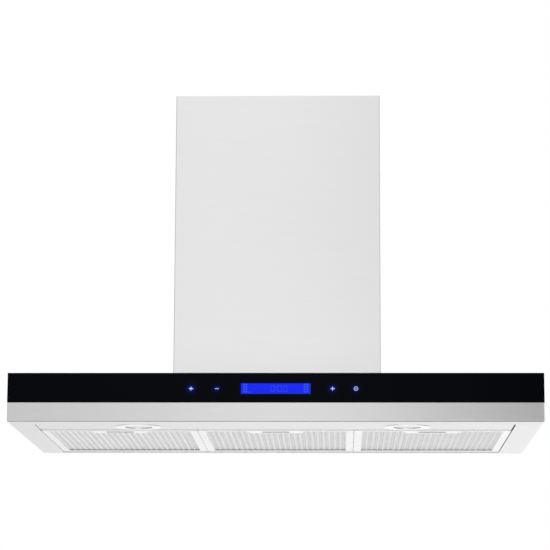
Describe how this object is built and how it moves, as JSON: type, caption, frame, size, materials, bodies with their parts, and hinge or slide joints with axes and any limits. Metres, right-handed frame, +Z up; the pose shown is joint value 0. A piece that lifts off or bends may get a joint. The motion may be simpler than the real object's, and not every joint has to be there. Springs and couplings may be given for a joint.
{
  "type": "island range hood",
  "caption": "Flat T-shaped ceiling range hood: telescopic square chimney over a wide thin canopy with a black glass touch fascia, hinged mesh filters and round lamps below.",
  "frame": {"origin": "centre of the ceiling plate's top face, in its duct opening; the hood hangs below it", "axes": "+X to the right as seen from the front, the glass fascia faces -Y, +Z up"},
  "size_m": [0.901, 0.5, 0.5915],
  "materials": {
    "steel": "brushed stainless steel, grain across the width",
    "galvanised": "galvanised sheet, dull",
    "motor_case": "black enamelled steel",
    "aluminium": "mill finish, matt",
    "black_glass": "toughened glass, back-painted black, polished",
    "display": "lit blue segment display behind the glass",
    "lens": "frosted lamp lens",
    "chrome": "satin chrome",
    "black_plastic": "moulded, fine texture",
    "grey_plastic": "moulded, fine texture",
    "board": "green circuit board",
    "cable": "sheathed lead"
  },
  "bodies": {
    "ceiling_frame": {"ceiling_plate": "galvanised", "upper_post_front_left": "galvanised", "upper_post_front_right": "galvanised", "upper_post_rear_left": "galvanised", "upper_post_rear_right": "galvanised", "upper_cover_front": "steel", "upper_cover_rear": "steel"},
    "filter_left": {"filter_frame_left": "aluminium", "filter_pad_left": "aluminium", "latch_plate_left": "aluminium"},
    "latch_left": {"latch_slide_left": "chrome"},
    "filter_middle": {"filter_frame_middle": "aluminium", "filter_pad_middle": "aluminium", "latch_plate_middle": "aluminium"},
    "latch_middle": {"latch_slide_middle": "chrome"},
    "filter_right": {"filter_frame_right": "aluminium", "filter_pad_right": "aluminium", "latch_plate_right": "aluminium"},
    "latch_right": {"latch_slide_right": "chrome"},
    "fan": {"fan_wheel": "galvanised", "fan_hub": "galvanised", "motor_shaft": "chrome"},
    "flap_front": {"damper_flap_front": "aluminium"},
    "flap_rear": {"damper_flap_rear": "aluminium"},
    "canopy": {"frame_base_ring": "galvanised", "lower_post_front_left": "galvanised", "lower_post_front_right": "galvanised", "lower_post_rear_left": "galvanised", "lower_post_rear_right": "galvanised", "lower_cover_front": "steel", "lower_cover_rear": "steel", "canopy_shell": "steel", "lamp_panel": "steel", "blower_box": "galvanised", "scroll_wrap": "galvanised", "scroll_side_left": "galvanised", "scroll_side_right": "galvanised", "motor_spider": "galvanised", "outlet_adapter": "galvanised", "damper_collar": "galvanised", "damper_axle": "galvanised", "lamp_module_left": "aluminium", "lamp_module_right": "aluminium", "lamp_bezel_left": "chrome", "lamp_bezel_right": "chrome", "front_glass": "black_glass", "display_module": "display", "lamp_lens_left": "lens", "lamp_lens_right": "lens", "motor_body": "motor_case", "touch_board": "board", "control_cover": "black_plastic", "power_supply": "black_plastic", "cable_gland": "black_plastic", "lamp_driver": "grey_plastic", "junction_box": "grey_plastic", "junction_cover": "grey_plastic", "lamp_lead_left": "cable", "lamp_lead_right": "cable", "control_lead": "cable"}
  },
  "joints": [
    {"name": "height_adjust", "type": "slide", "parent": "ceiling_frame", "child": "canopy", "axis": [0, 0, -1], "range_m": [0, 0.4]},
    {"name": "filter_left_swing", "type": "hinge", "parent": "canopy", "child": "filter_left", "pos_m": [-0.2739, 0.225, -0.586], "axis": [1, 0, 0], "range_deg": [0, 85]},
    {"name": "latch_left_pull", "type": "slide", "parent": "filter_left", "child": "latch_left", "axis": [0, 1, 0], "range_m": [0, 0.006], "stiffness_N_per_m": 400, "springref_m": -0.003},
    {"name": "filter_middle_swing", "type": "hinge", "parent": "canopy", "child": "filter_middle", "pos_m": [-0.0025, 0.225, -0.586], "axis": [1, 0, 0], "range_deg": [0, 85]},
    {"name": "latch_middle_pull", "type": "slide", "parent": "filter_middle", "child": "latch_middle", "axis": [0, 1, 0], "range_m": [0, 0.006], "stiffness_N_per_m": 400, "springref_m": -0.003},
    {"name": "filter_right_swing", "type": "hinge", "parent": "canopy", "child": "filter_right", "pos_m": [0.2689, 0.225, -0.586], "axis": [1, 0, 0], "range_deg": [0, 85]},
    {"name": "latch_right_pull", "type": "slide", "parent": "filter_right", "child": "latch_right", "axis": [0, 1, 0], "range_m": [0, 0.006], "stiffness_N_per_m": 400, "springref_m": -0.003},
    {"name": "fan_spin", "type": "hinge", "parent": "canopy", "child": "fan", "pos_m": [0, -0.02, -0.3865], "axis": [1, 0, 0], "continuous": true},
    {"name": "flap_front_swing", "type": "hinge", "parent": "canopy", "child": "flap_front", "pos_m": [0, 0.032, -0.2091], "axis": [-1, 0, 0], "range_deg": [0, 75]},
    {"name": "flap_rear_swing", "type": "hinge", "parent": "canopy", "child": "flap_rear", "pos_m": [0, 0.032, -0.2091], "axis": [1, 0, 0], "range_deg": [0, 75]}
  ]
}
